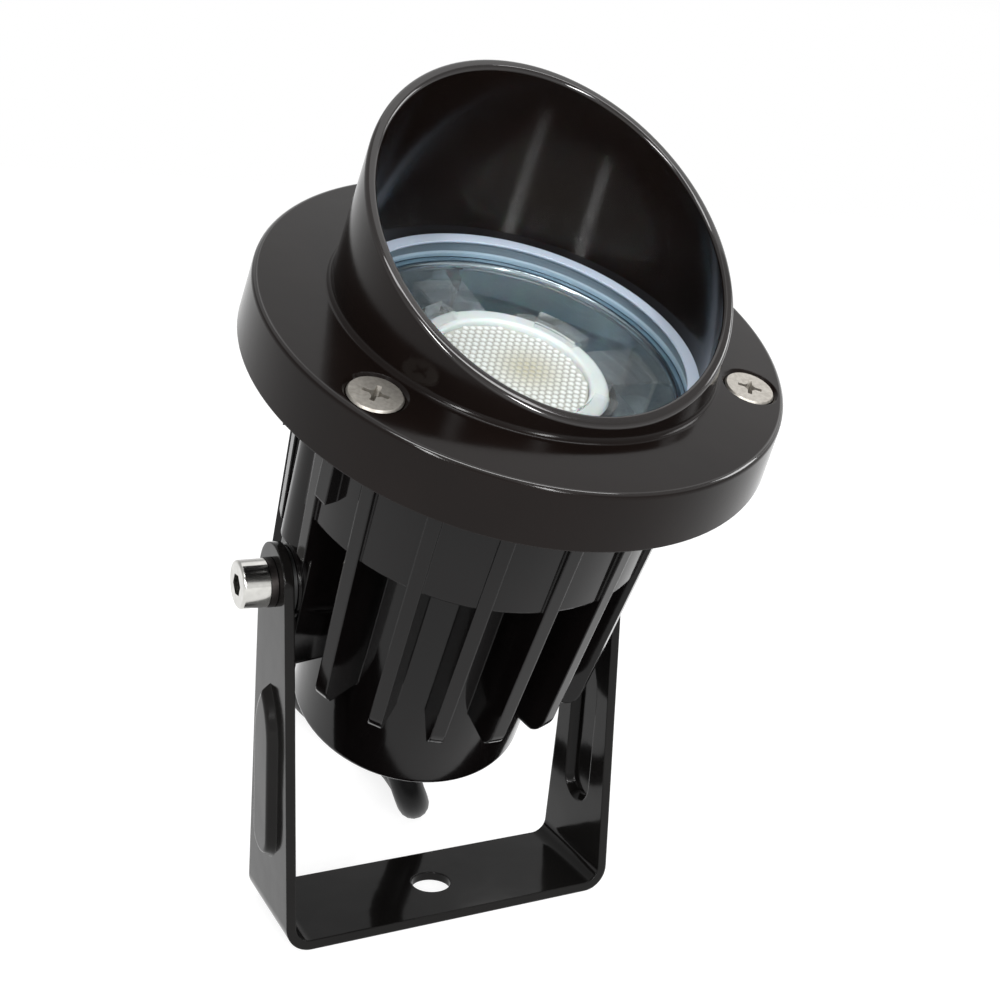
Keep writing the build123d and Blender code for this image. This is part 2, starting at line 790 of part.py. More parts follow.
# Cable gland in the tail: body, washer, seal and clamping nut
stem_end = chamber_floor + gland_stem_inside
neck_end = gland_hex_end - gland_neck_length
seal_radius = cord_radius + seat_gap + seal_wall
gland_bore_radius = cord_radius + gland_bore_clearance
with BuildPart() as gland_body:
    with BuildSketch(Plane.XY.offset(stem_end)):
        Circle(gland_stem_radius)
    extrude(amount=gland_flange - stem_end)
    with BuildSketch(Plane.XY.offset(gland_flange)):
        RegularPolygon(gland_hex / 2, 6, major_radius=False)
    extrude(amount=-gland_hex_height)
    with BuildSketch(Plane.XY.offset(gland_hex_end)):
        Circle(gland_neck_radius)
    extrude(amount=-gland_neck_length)
    with BuildSketch(Plane.XY.offset(stem_end)):
        Circle(gland_bore_radius)
    extrude(amount=neck_end - stem_end, mode=Mode.SUBTRACT)
    with BuildSketch(Plane.XY.offset(neck_end)):
        Circle(seal_radius + seat_gap)
    extrude(amount=seal_length + seat_gap, mode=Mode.SUBTRACT)
write_piece(gland_body, "gland_body", head_place)

with BuildPart() as gland_washer:
    with BuildSketch(Plane.XY.offset(tail_end - seat_gap)):
        Circle(gland_hex / 2)
        Circle(gland_stem_radius + seat_gap, mode=Mode.SUBTRACT)
    extrude(amount=-gland_washer_thickness)
write_piece(gland_washer, "gland_washer", head_place)

with BuildPart() as gland_seal:
    with BuildSketch(Plane.XY.offset(neck_end)):
        Circle(seal_radius)
        Circle(cord_radius + seat_gap, mode=Mode.SUBTRACT)
    extrude(amount=seal_length)
write_piece(gland_seal, "gland_seal", head_place)

with BuildPart() as gland_nut:
    with BuildSketch(Plane.XY.offset(gland_hex_end - seat_gap)):
        Circle(gland_nut_radius)
        with PolarLocations(gland_nut_radius, gland_nut_flutes):
            Circle(gland_flute_radius, mode=Mode.SUBTRACT)
    extrude(amount=-gland_nut_length)
    with BuildSketch(Plane.XY.offset(gland_end)):
        Circle(gland_bore_radius)
    extrude(amount=gland_nut_length, mode=Mode.SUBTRACT)
    with BuildSketch(Plane.XY.offset(gland_end + gland_nut_lip)):
        Circle(gland_neck_radius + fit_gap)
    extrude(amount=gland_nut_length - gland_nut_lip, mode=Mode.SUBTRACT)
write_piece(gland_nut, "gland_nut", head_place)

# End of the cable inside the gland, and its two cores up to the driver board
with BuildPart() as cable_end:
    with BuildSketch(Plane.XY.offset(gland_end)):
        Circle(cord_radius)
    extrude(amount=stem_end + seat_gap - gland_end)
write_piece(cable_end, "cable_end", head_place)

core_rest = board_face + seat_gap + core_radius
with BuildPart() as input_cores:
    for side in (1, -1):
        core_x = side * core_spacing / 2
        with BuildLine():
            core_path = FilletPolyline(
                (core_x, 0, stem_end + 2 * seat_gap),
                (core_x, 0, core_join - core_rest),
                (core_x, core_rest, core_join),
                (core_x, core_rest, core_level),
                radius=core_bend,
            )
        with BuildSketch(Plane(origin=core_path @ 0, z_dir=core_path % 0)):
            Circle(core_radius)
        sweep(path=core_path)
write_piece(input_cores, "input_cores", head_place)

# Tilt joint: a friction washer inside each ear, a lock washer and bolt outside it
washer_face = boss_half_span + side_gap
lock_face = bracket_width / 2 + side_gap
bolt_seat = lock_face + lock_washer_thickness + side_gap
with BuildPart() as friction_washers:
    for side in (1, -1):
        with BuildSketch(Plane.YZ.offset(side * washer_face)):
            Circle(friction_washer_radius)
            Circle(m4_radius + fit_gap, mode=Mode.SUBTRACT)
        extrude(amount=side * friction_washer_thickness)
write_piece(friction_washers, "friction_washers", head_place)

with BuildPart() as lock_washers:
    for side in (1, -1):
        with BuildSketch(Plane.YZ.offset(side * lock_face)):
            Circle(lock_washer_radius)
            Circle(m4_radius + fit_gap, mode=Mode.SUBTRACT)
            Rectangle(
                lock_washer_radius,
                lock_washer_slit,
                align=(Align.MIN, Align.CENTER),
                mode=Mode.SUBTRACT,
            )
        extrude(amount=side * lock_washer_thickness)
write_piece(lock_washers, "pivot_lock_washers", head_place)

with BuildPart() as pivot_bolt:
    with BuildSketch(Plane.XY):
        Circle(bolt_head_radius)
    extrude(amount=bolt_head_height)
    fillet(pivot_bolt.edges().group_by(Axis.Z)[-1], bolt_head_rounding)
    with BuildSketch(Plane.XY):
        Circle(m4_radius)
    extrude(amount=-bolt_length)
    with BuildSketch(Plane.XY.offset(bolt_head_height)):
        RegularPolygon(bolt_socket / 2, 6, major_radius=False)
    extrude(amount=-bolt_socket_depth, mode=Mode.SUBTRACT)
with BuildPart() as pivot_bolts:
    for turn in (90, -90):
        with Locations(Location((bolt_seat * sin(radians(turn)), 0, 0), (0, turn, 0))):
            add(pivot_bolt.part)
write_piece(pivot_bolts, "pivot_bolts", head_place)

# Cable from the gland down to the floor and back to its coil
cord_rest = cord_radius
coil_rest = tie_thickness + seat_gap + cord_radius
coil_start = (coil_centre[0] - coil_outer_radius, coil_centre[1], coil_rest)
coil_entry = (coil_start[0], coil_start[1] - cord_diameter, coil_rest)
gland_exit = Vector(0, 0, pivot_height) + gland_end * head_axis
cord_points = [
    gland_exit,
    gland_exit - cord_drop * head_axis,
    (2.2, 19.8, 14.0),
    (4.0, 19.6, 8.7),
    (5.9, 21.6, 5.0),
    (7.8, 25.3, cord_rest),
    (9.7, 33.0, cord_rest),
    (10.6, 45.0, cord_rest),
    (8.0, 57.8, cord_rest),
    (coil_entry[0], 71.0, coil_rest),
    coil_entry,
]


def bend_radii(points):
    """The largest radius that each corner's two runs leave room for."""
    places = [Vector(point) for point in points]
    radii = []
    for before, corner, after in zip(places, places[1:], places[2:]):
        shorter = min((corner - before).length, (after - corner).length)
        half_turn = radians((corner - before).get_angle(after - corner)) / 2
        radii.append(bend_share * shorter / tan(half_turn))
    return radii


cord_radii = bend_radii(cord_points)
print("cord bend radii", [round(radius, 1) for radius in cord_radii])
with BuildPart() as cord_lead:
    with BuildLine():
        cord_path = FilletPolyline(*cord_points, radius=cord_radii)
    with BuildSketch(Plane(origin=cord_path @ 0, z_dir=cord_path % 0)):
        Circle(cord_radius)
    sweep(path=cord_path)
cord_volume = pi * cord_radius**2 * cord_path.length
print("cord volume over section times length", round(cord_lead.part.volume / cord_volume, 4))
write_piece(cord_lead, "cord_lead")

# Coil of the spare cable: a turn in, half a turn up, a turn out on top, and so on
coil_layer_turns = coil_spiral_turns + coil_climb_turns


def coil_radius(turn):
    """Radius of the winding after so many turns."""
    layer, turned = divmod(turn, coil_layer_turns)
    crossed = min(turned, coil_spiral_turns)
    inward = crossed if layer % 2 == 0 else coil_spiral_turns - crossed
    return coil_outer_radius - coil_turn_step * inward


def coil_level(turn):
    """Height of the winding's centre line after so many turns."""
    layer, turned = divmod(turn, coil_layer_turns)
    climbed = max(turned - coil_spiral_turns, 0) / coil_climb_turns
    return coil_rest + coil_layer_step * (layer + (1 - cos(pi * climbed)) / 2)


def coil_point(turn):
    """Centre line of the winding, clockwise from its left side."""
    angle = pi - 2 * pi * turn
    across = coil_radius(turn) * cos(angle)
    along = coil_radius(turn) * sin(angle)
    return Vector(coil_centre[0] + across, coil_centre[1] + along, coil_level(turn))


def coil_heading(turn):
    """Direction of the winding, square to its radius at both ends."""
    if turn in (0, coil_turns):
        angle = pi - 2 * pi * turn
        return Vector(sin(angle), -cos(angle), 0)
    return (coil_point(turn + heading_step) - coil_point(turn - heading_step)).normalized()


def biarc_joint(start, start_heading, end, end_heading):
    """Where two tangent arcs between two headings meet, and their heading there."""
    chord = end - start
    both = start_heading + end_heading
    along = chord.dot(both)
    spread = 2 * (1 - start_heading.dot(end_heading))
    reach = (-along + (along**2 + spread * chord.dot(chord)) ** 0.5) / spread
    joint = (start + end + (start_heading - end_heading) * reach) / 2
    return joint, (chord - both * reach).normalized()


coil_nodes = [quarter / 4 for quarter in range(round(4 * coil_turns) + 1)]
with BuildPart() as cord_coil:
    with BuildLine() as coil_path:
        Line(coil_entry, coil_start)
        for turn, next_turn in zip(coil_nodes, coil_nodes[1:]):
            here = coil_point(turn)
            there = coil_point(next_turn)
            joint, joint_heading = biarc_joint(here, coil_heading(turn), there, coil_heading(next_turn))
            TangentArc(here, joint, tangent=coil_heading(turn))
            TangentArc(joint, there, tangent=joint_heading)
        coil_end = coil_point(coil_turns)
        Line(coil_end, coil_end + cord_diameter * coil_heading(coil_turns))
    with BuildSketch(Plane(origin=coil_entry, z_dir=(0, 1, 0))):
        Circle(cord_radius)
    sweep(path=coil_path.wire())
coil_wire = coil_path.wire()
samples = [coil_wire @ (step / gap_samples) for step in range(gap_samples + 1)]
apart = round(gap_samples * 3 * cord_diameter / coil_wire.length)
least = min(
    (samples[i] - samples[j]).length
    for i in range(gap_samples + 1)
    for j in range(i + apart, gap_samples + 1)
)
print("coil length", round(coil_wire.length), "least gap to itself", round(least - cord_diameter, 2))
write_piece(cord_coil, "cord_coil")

# Tie round the coil's bundle, on the side towards the lamp
tie_turn = 0.75
bundle_outer = coil_outer_radius + cord_radius + tie_slack
bundle_inner = coil_radius(tie_turn) - cord_radius - tie_slack
bundle_height = coil_level(coil_turns) - coil_rest + cord_diameter + 2 * seat_gap
tie_plane = Plane(
    origin=(coil_centre[0], coil_centre[1] - (bundle_outer + bundle_inner) / 2, tie_thickness),
    x_dir=(0, -1, 0),
    z_dir=(-1, 0, 0),
)
bundle_width = bundle_outer - bundle_inner
with BuildPart() as cord_tie:
    with BuildSketch(tie_plane):
        with Locations((0, bundle_height / 2)):
            RectangleRounded(
                bundle_width + 2 * tie_thickness,
                bundle_height + 2 * tie_thickness,
                cord_radius + tie_thickness,
            )
            RectangleRounded(bundle_width, bundle_height, cord_radius, mode=Mode.SUBTRACT)
    extrude(amount=tie_width / 2, both=True)
write_piece(cord_tie, "cord_tie")

# Two bare-ended cores at the far end of the cable
core_start = coil_end + cord_diameter * coil_heading(coil_turns)
core_plane = Plane(origin=core_start, x_dir=(0, 1, 0), z_dir=coil_heading(coil_turns))
covered_length = core_length - core_bare_length
with BuildPart() as cord_cores:
    for side in (1, -1):
        for core_size, reach in ((core_radius, covered_length), (core_bare_radius, core_length)):
            with BuildSketch(core_plane):
                with Locations((side * core_spacing / 2, 0)):
                    Circle(core_size)
            extrude(amount=reach)
write_piece(cord_cores, "cord_cores")
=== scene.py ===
import math

import bmesh
import bpy
from mathutils import Matrix, Vector


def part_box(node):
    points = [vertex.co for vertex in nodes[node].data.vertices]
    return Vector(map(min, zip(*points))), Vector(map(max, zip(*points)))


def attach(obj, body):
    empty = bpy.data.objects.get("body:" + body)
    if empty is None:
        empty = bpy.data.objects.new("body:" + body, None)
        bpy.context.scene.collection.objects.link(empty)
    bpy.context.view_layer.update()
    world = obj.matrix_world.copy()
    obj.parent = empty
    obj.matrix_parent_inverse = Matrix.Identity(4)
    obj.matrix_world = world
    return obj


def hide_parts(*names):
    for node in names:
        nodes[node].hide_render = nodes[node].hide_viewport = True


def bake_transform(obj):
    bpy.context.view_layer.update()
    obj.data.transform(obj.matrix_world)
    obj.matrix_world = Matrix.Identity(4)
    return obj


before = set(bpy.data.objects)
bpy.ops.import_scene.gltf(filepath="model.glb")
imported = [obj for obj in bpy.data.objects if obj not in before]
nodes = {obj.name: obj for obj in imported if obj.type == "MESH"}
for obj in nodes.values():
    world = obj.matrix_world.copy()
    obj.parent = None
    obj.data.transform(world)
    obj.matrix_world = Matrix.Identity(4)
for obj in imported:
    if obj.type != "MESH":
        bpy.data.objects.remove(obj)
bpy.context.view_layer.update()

# Camera at the photograph's viewing angle: a little left of the lamp and above it.
# Its place and its three axes come from edges of the ring, the shield and the bracket.
MM = 0.001
camera_place = Vector((-89.95, -185.74, 119.84)) * MM
camera_right = Vector((0.8773, -0.4742, 0.0740))
camera_up = Vector((0.0896, 0.3132, 0.9455))
camera_back = Vector((-0.4715, -0.8228, 0.3172))
camera_data = bpy.data.cameras.new("camera")
camera_data.sensor_width = 36.0
camera_data.lens = 49.72
camera_data.shift_x = -0.0373
camera_data.shift_y = 0.1110
camera_data.clip_start = 0.01
camera = bpy.data.objects.new("camera", camera_data)
camera_axes = Matrix((camera_right, camera_up, camera_back)).transposed()
camera.matrix_world = Matrix.Translation(camera_place) @ camera_axes.to_4x4()
bpy.context.scene.collection.objects.link(camera)
bpy.context.scene.camera = camera


# Heat sink body: one aluminium casting with eighteen fins, a collar, a smooth tail and two bosses.
# It is sprayed gloss black. The paint rounds the cast edges and keeps a faint orange peel.
def linear(colour):
    """An sRGB hex colour as linear red, green, blue and alpha."""
    parts = [int(colour[start:start + 2], 16) / 255 for start in (1, 3, 5)]
    return (*[part / 12.92 if part <= 0.04045 else ((part + 0.055) / 1.055) ** 2.4 for part in parts], 1)


def add(material, kind, settings=None, links=None):
    """Add a shader node, set its properties and sockets, and link its inputs."""
    node = material.node_tree.nodes.new("ShaderNode" + kind)
    for name, value in (settings or {}).items():
        if isinstance(name, int) or name in node.inputs:
            node.inputs[name].default_value = value
        else:
            setattr(node, name, value)
    for name, source in (links or {}).items():
        material.node_tree.links.new(source, node.inputs[name])
    return node


def new_material(name):
    """A new material with no nodes, and its object coordinates."""
    material = bpy.data.materials.new(name)
    material.use_nodes = True
    material.node_tree.nodes.clear()
    return material, add(material, "TexCoord").outputs["Object"]


def gloss_paint(name, dark, light, gloss, roughness, wave, edge):
    """Gloss paint with waves of a given depth, flowed round edges of a given radius, in millimetres."""
    material, where = new_material(name)
    flow = add(material, "TexNoise", {"Scale": 1 / (14 * MM), "Detail": 2.0}, {"Vector": where})
    peel = add(material, "TexNoise", {"Scale": 1 / (2.2 * MM), "Detail": 1.0}, {"Vector": where})
    tone = add(
        material, "MixRGB", {"Color1": linear(dark), "Color2": linear(light)}, {"Fac": flow.outputs["Fac"]}
    )
    shine = add(
        material,
        "MapRange",
        {"From Min": 0.35, "From Max": 0.65, "To Min": 0.8 * roughness, "To Max": 1.2 * roughness},
        {"Value": flow.outputs["Fac"]},
    )
    rounded = add(material, "Bevel", {"samples": 6, "Radius": edge * MM})
    waves = add(
        material,
        "Bump",
        {"Strength": 0.5, "Distance": wave * MM},
        {"Height": flow.outputs["Fac"], "Normal": rounded.outputs["Normal"]},
    )
    pimples = add(
        material,
        "Bump",
        {"Strength": 0.12, "Distance": 0.05 * MM},
        {"Height": peel.outputs["Fac"], "Normal": waves.outputs["Normal"]},
    )
    coat = add(
        material,
        "BsdfPrincipled",
        {"IOR": 1.5, "Specular IOR Level": gloss},
        {
            "Base Color": tone.outputs["Color"],
            "Roughness": shine.outputs["Result"],
            "Normal": pimples.outputs["Normal"],
        },
    )
    add(material, "OutputMaterial", links={"Surface": coat.outputs["BSDF"]})
    return material


def finish_node(name, material):
    """Give a CAD node its finish."""
    nodes[name].material_slots[0].material = material


body_paint = gloss_paint("gloss_black_paint_on_casting", "#050404", "#0b0909", 0.22, 0.1, 0.1, 0.35)
finish_node("heat_sink_body", body_paint)


# Driver in the tail: a glass-fibre board with a wound choke, two capacitors and two chips.
# It stands in an insulating liner moulded in white plastic, with its leads soldered on.
def plain_finish(name, dark, light, grain, roughness, metallic=0.0):
    """A finish of two close colours in grains of a given size, in millimetres."""
    material, where = new_material(name)
    speckle = add(material, "TexNoise", {"Scale": 1 / (grain * MM), "Detail": 3.0}, {"Vector": where})
    tone = add(
        material, "MixRGB", {"Color1": linear(dark), "Color2": linear(light)}, {"Fac": speckle.outputs["Fac"]}
    )
    relief = add(
        material, "Bump", {"Strength": 0.15, "Distance": 0.05 * MM}, {"Height": speckle.outputs["Fac"]}
    )
    body = add(
        material,
        "BsdfPrincipled",
        {"Roughness": roughness, "Metallic": metallic},
        {"Base Color": tone.outputs["Color"], "Normal": relief.outputs["Normal"]},
    )
    add(material, "OutputMaterial", links={"Surface": body.outputs["BSDF"]})
    return material


finish_node("driver_insulator", plain_finish("white_moulded_polycarbonate", "#d4d2cb", "#efeeea", 4.0, 0.35))
finish_node("driver_board", plain_finish("green_glass_fibre", "#0a4020", "#176a35", 0.8, 0.4))
black_moulding = plain_finish("black_moulded_plastic", "#0b0b0c", "#1c1c1c", 0.7, 0.45)
for name in ("driver_inductor", "driver_capacitors", "driver_chips"):
    finish_node(name, black_moulding)
lead_insulation = plain_finish("brown_lead_insulation", "#4f2513", "#783f26", 0.9, 0.45)
for name in ("led_leads", "input_cores"):
    finish_node(name, lead_insulation)

# Cable gland: a black nylon body and nut, screwed into the tail over a soft washer.
# A rubber seal inside it grips the cable.
gland_nylon = plain_finish("black_moulded_nylon", "#0d0d0e", "#1e1e1e", 0.5, 0.4)
for name in ("gland_body", "gland_nut"):
    finish_node(name, gland_nylon)
seal_rubber = plain_finish("black_nitrile_rubber", "#0b0b0b", "#181818", 0.6, 0.65)
for name in ("gland_washer", "gland_seal"):
    finish_node(name, seal_rubber)

# Cable: two-core flex in a black rubber jacket, 5.8 mm across, out of the gland in the tail.
# It drops to the floor behind the bracket, and its spare length is coiled and tied there.
cord_diameter = 5.8
cord_rest = cord_diameter / 2
pivot_height = 57.0
rest_tilt = math.radians(26.2)
gland_reach = 38.95
gland_drop = 4.4
tie_thickness = 0.6
seat_gap = 0.05
coil_rest = tie_thickness + seat_gap + cord_rest
coil_middle = (38.0, 90.0)
coil_outer_radius = 33.0
coil_turn_step = 7.4
coil_spiral_turns = 1.0
coil_climb_turns = 0.5
coil_layer_turns = coil_spiral_turns + coil_climb_turns
coil_layer_step = 6.3
coil_turns = 4.75
points_per_turn = 16
weld_distance = 0.001
tail_heading = Vector((0, math.sin(rest_tilt), -math.cos(rest_tilt)))
gland_exit = Vector((0, 0, pivot_height)) + gland_reach * tail_heading
coil_entry = Vector((coil_middle[0] - coil_outer_radius, coil_middle[1] - cord_diameter, coil_rest))
floor_touch = Vector((7.8, 25.3, cord_rest))
cord_points = [
    gland_exit,
    gland_exit + gland_drop * tail_heading,
    Vector((2.2, 19.8, 14.0)),
    Vector((4.0, 19.6, 8.7)),
    Vector((5.9, 21.6, 5.0)),
    floor_touch,
    Vector((9.7, 33.0, cord_rest)),
    Vector((10.6, 45.0, cord_rest)),
    Vector((8.0, 57.8, cord_rest)),
    Vector((coil_entry.x, 71.0, coil_rest)),
    coil_entry,
]
for step in range(round(coil_turns * points_per_turn) + 1):
    turn = step / points_per_turn
    layer, turned_on_layer = divmod(turn, coil_layer_turns)
    crossed = min(turned_on_layer, coil_spiral_turns)
    inward = crossed if layer % 2 == 0 else coil_spiral_turns - crossed
    radius = coil_outer_radius - coil_turn_step * inward
    climbed = max(turned_on_layer - coil_spiral_turns, 0) / coil_climb_turns
    level = coil_rest + coil_layer_step * (layer + (1 - math.cos(math.pi * climbed)) / 2)
    angle = math.pi - 2 * math.pi * turn
    across = coil_middle[0] + radius * math.cos(angle)
    along = coil_middle[1] + radius * math.sin(angle)
    cord_points.append(Vector((across, along, level)))
cord_points.append(cord_points[-1] - Vector((cord_diameter, 0, 0)))

cord_curve = bpy.data.curves.new("cable_route", "CURVE")
cord_curve.dimensions = "3D"
cord_curve.resolution_u = 8
cord_spline = cord_curve.splines.new("NURBS")
cord_spline.points.add(len(cord_points) - 1)
for spot, point in zip(cord_spline.points, cord_points):
    spot.co = (*(point * MM), 1)
cord_spline.order_u = 3
cord_spline.use_endpoint_u = True
cord_route = bpy.data.objects.new("cable_route", cord_curve)
bpy.context.scene.collection.objects.link(cord_route)
cord_line = [vertex.co.copy() for vertex in bpy.data.meshes.new_from_object(cord_route).vertices]
cord_curve.bevel_depth = cord_rest * MM
cord_curve.bevel_resolution = 6
cord_curve.use_fill_caps = True
bpy.context.view_layer.update()
cable_shape = bmesh.new()
cable_shape.from_mesh(bpy.data.meshes.new_from_object(cord_route))
bpy.data.objects.remove(cord_route)
bmesh.ops.remove_doubles(cable_shape, verts=cable_shape.verts, dist=weld_distance * MM)
bmesh.ops.recalc_face_normals(cable_shape, faces=cable_shape.faces)

# Extruded rubber: satin black, with a faint bloom and the die's fine drag marks
jacket_rubber, place = new_material("extruded_black_rubber")
bloom = add(jacket_rubber, "TexNoise", {"Scale": 1 / (6 * MM), "Detail": 3.0}, {"Vector": place})
bloom_tone = add(
    jacket_rubber,
    "MixRGB",
    {"Color1": linear("#040404"), "Color2": linear("#0e0e0f")},
    {"Fac": bloom.outputs["Fac"]},
)
drag = add(jacket_rubber, "TexNoise", {"Scale": 1 / (0.5 * MM), "Detail": 2.0}, {"Vector": place})
drag_bump = add(
    jacket_rubber,
    "Bump",
    {"Strength": 0.2, "Distance": 0.05 * MM},
    {"Height": drag.outputs["Fac"]},
)
jacket_shader = add(
    jacket_rubber,
    "BsdfPrincipled",
    {"Roughness": 0.38, "IOR": 1.5, "Specular IOR Level": 0.15},
    {"Base Color": bloom_tone.outputs["Color"], "Normal": drag_bump.outputs["Normal"]},
)
add(jacket_rubber, "OutputMaterial", links={"Surface": jacket_shader.outputs["BSDF"]})


sharp_angle = math.radians(40)


def make_piece(name, shape, material):
    """A new object at the origin from a bmesh, smooth but for its sharp edges."""
    mesh = bpy.data.meshes.new(name)
    shape.to_mesh(mesh)
    shape.free()
    mesh.shade_smooth()
    mesh.set_sharp_from_angle(angle=sharp_angle)
    mesh.materials.append(material)
    piece = bpy.data.objects.new(name, mesh)
    bpy.context.scene.collection.objects.link(piece)
    return piece


cable = make_piece("cable", cable_shape, jacket_rubber)
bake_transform(cable)
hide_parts("cord_lead", "cord_coil")
finish_node("cable_end", jacket_rubber)

# Cable tie and cores: a black nylon band round the coil, and two brown cores at the cable's end.
# The cores are stripped for 8 mm, so their ends show twisted copper.
core_bare_length = 8.0
finish_node("cord_tie", gland_nylon)
stripped_core, place = new_material("brown_insulation_stripped_to_copper")
core_x = add(stripped_core, "SeparateXYZ", links={0: place})
bare_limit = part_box("cord_cores")[0][0] + core_bare_length * MM
bare = add(stripped_core, "Math", {"operation": "LESS_THAN", 1: bare_limit}, {0: core_x.outputs["X"]})
strands = add(stripped_core, "TexNoise", {"Scale": 1 / (0.4 * MM), "Detail": 2.0}, {"Vector": place})
copper_tone = add(
    stripped_core,
    "MixRGB",
    {"Color1": linear("#9a5a3c"), "Color2": linear("#d99a74")},
    {"Fac": strands.outputs["Fac"]},
)
core_tone = add(
    stripped_core,
    "MixRGB",
    {"Color1": linear("#63321d")},
    {"Fac": bare.outputs[0], "Color2": copper_tone.outputs["Color"]},
)
core_bump = add(
    stripped_core,
    "Bump",
    {"Strength": 0.3, "Distance": 0.05 * MM},
    {"Height": strands.outputs["Fac"]},
)
core_shader = add(
    stripped_core,
    "BsdfPrincipled",
    {"Roughness": 0.35},
    {
        "Base Color": core_tone.outputs["Color"],
        "Metallic": bare.outputs[0],
        "Normal": core_bump.outputs["Normal"],
    },
)
add(stripped_core, "OutputMaterial", links={"Surface": core_shader.outputs["BSDF"]})
finish_node("cord_cores", stripped_core)

# Light source behind the lens: a machined heat spreader plate, held by four screws on the body's ledge,
# with a soft thermal pad, a white-masked board and its yellow phosphor.
finish_node("heat_spreader_plate", plain_finish("machined_aluminium", "#9a9c9e", "#d0d2d3", 0.6, 0.3, 1.0))
finish_node("thermal_pad", plain_finish("filled_silicone_pad", "#6c7074", "#90949a", 0.8, 0.7))
finish_node("led_board", plain_finish("white_solder_mask", "#d8d8d4", "#f0f0ee", 1.2, 0.35))
finish_node("led_emitter", plain_finish("yellow_phosphor_gel", "#d3a331", "#f0cd66", 0.7, 0.3))

# Reflector sleeve: thin spun aluminium that lines the bore, with a bead rolled at its mouth.
# Polishing leaves it smooth but for a faint cloudiness.
polished_aluminium, place = new_material("polished_spun_aluminium")
haze = add(polished_aluminium, "TexNoise", {"Scale": 1 / (7 * MM), "Detail": 2.0}, {"Vector": place})
haze_tone = add(
    polished_aluminium,
    "MixRGB",
    {"Color1": linear("#9aa7af"), "Color2": linear("#ccd7dd")},
    {"Fac": haze.outputs["Fac"]},
)
haze_shine = add(
    polished_aluminium,
    "MapRange",
    {"From Min": 0.35, "From Max": 0.65, "To Min": 0.06, "To Max": 0.13},
    {"Value": haze.outputs["Fac"]},
)
polished_shader = add(
    polished_aluminium,
    "BsdfPrincipled",
    {"Metallic": 1.0},
    {"Base Color": haze_tone.outputs["Color"], "Roughness": haze_shine.outputs["Result"]},
)
add(polished_aluminium, "OutputMaterial", links={"Surface": polished_shader.outputs["BSDF"]})
finish_node("reflector_sleeve", polished_aluminium)

# Lens cup: a ring moulded in white translucent plastic, which holds the lens over the light source.
# Light soaks into it, so it looks soft and evenly white.
cup_plastic, place = new_material("translucent_white_polycarbonate")
cup_cloud = add(cup_plastic, "TexNoise", {"Scale": 1 / (4 * MM), "Detail": 2.0}, {"Vector": place})
cup_tone = add(
    cup_plastic,
    "MixRGB",
    {"Color1": linear("#e2e6e6"), "Color2": linear("#f6f8f8")},
    {"Fac": cup_cloud.outputs["Fac"]},
)
cup_shader = add(
    cup_plastic,
    "BsdfPrincipled",
    {"Roughness": 0.25, "IOR": 1.58, "Subsurface Weight": 0.4, "Subsurface Scale": 2 * MM},
    {"Base Color": cup_tone.outputs["Color"]},
)
add(cup_plastic, "OutputMaterial", links={"Surface": cup_shader.outputs["BSDF"]})
finish_node("lens_cup", cup_plastic)

# Lens: moulded acrylic, with a honeycomb of small domes over its whole face, 1.1 mm apart.
# The valleys between them are painted darker as painted shade, and the yellow source tints a soft patch from
# behind.
lens_radius = 11.2
lens_top = 35.2
dome_base = lens_top + seat_gap
dome_pitch = 1.1
dome_steps = ((0.03, 0.0), (0.1, 0.07), (0.14, 0.05), (0.14, 0.02))
dome_height = sum(step[1] for step in dome_steps)
dome_fill = 0.98
source_middle = (3.0, 0.5, lens_top)
source_reach = 7.5
head_place = Matrix.Translation((0, 0, pivot_height * MM)) @ Matrix.Rotation(rest_tilt, 4, "X")
head_upright = {
    "vector_type": "TEXTURE",
    "Location": (0, 0, pivot_height * MM),
    "Rotation": (rest_tilt, 0, 0),
}
domes_shape = bmesh.new()
first_dome = bmesh.ops.create_circle(
    domes_shape, cap_ends=True, segments=6, radius=dome_fill * dome_pitch / math.sqrt(3) * MM
)
crown = first_dome["verts"][0].link_faces[0]
for dome_inset, dome_rise in dome_steps:
    bmesh.ops.inset_region(
        domes_shape,
        faces=[crown],
        use_boundary=True,
        use_even_offset=True,
        thickness=dome_inset * MM,
        depth=dome_rise * MM,
    )
dome_geometry = domes_shape.verts[:] + domes_shape.edges[:] + domes_shape.faces[:]
row_pitch = dome_pitch * math.sqrt(3) / 2
row_reach = int(lens_radius / row_pitch)
for row in range(-row_reach, row_reach + 1):
    for column in range(-row_reach, row_reach + 1):
        dome_x = dome_pitch * (column + row % 2 / 2)
        dome_y = row_pitch * row
        if math.hypot(dome_x, dome_y) + dome_pitch / 4 > lens_radius or row == column == 0:
            continue
        copied = bmesh.ops.duplicate(domes_shape, geom=dome_geometry)["geom"]
        copied_verts = [item for item in copied if isinstance(item, bmesh.types.BMVert)]
        bmesh.ops.translate(domes_shape, verts=copied_verts, vec=Vector((dome_x, dome_y, 0)) * MM)
bmesh.ops.translate(domes_shape, verts=domes_shape.verts, vec=(0, 0, dome_base * MM))
bmesh.ops.transform(domes_shape, verts=domes_shape.verts, matrix=head_place)
lens_acrylic, place = new_material("honeycomb_moulded_acrylic")
upright = add(
    lens_acrylic,
    "Mapping",
    head_upright,
    {"Vector": place},
)
lens_level = add(lens_acrylic, "SeparateXYZ", links={0: upright.outputs["Vector"]})
# Painted shade: the colour darkens from the domes' crowns down into the valleys between them.
valley_shade_share = add(
    lens_acrylic,
    "MapRange",
    {"From Min": dome_base * MM, "From Max": (dome_base + dome_height) * MM},
    {"Value": lens_level.outputs["Z"]},
)
from_source = add(
    lens_acrylic,
    "VectorMath",
    {"operation": "DISTANCE", 1: Vector(source_middle) * MM},
    {0: upright.outputs["Vector"]},
)
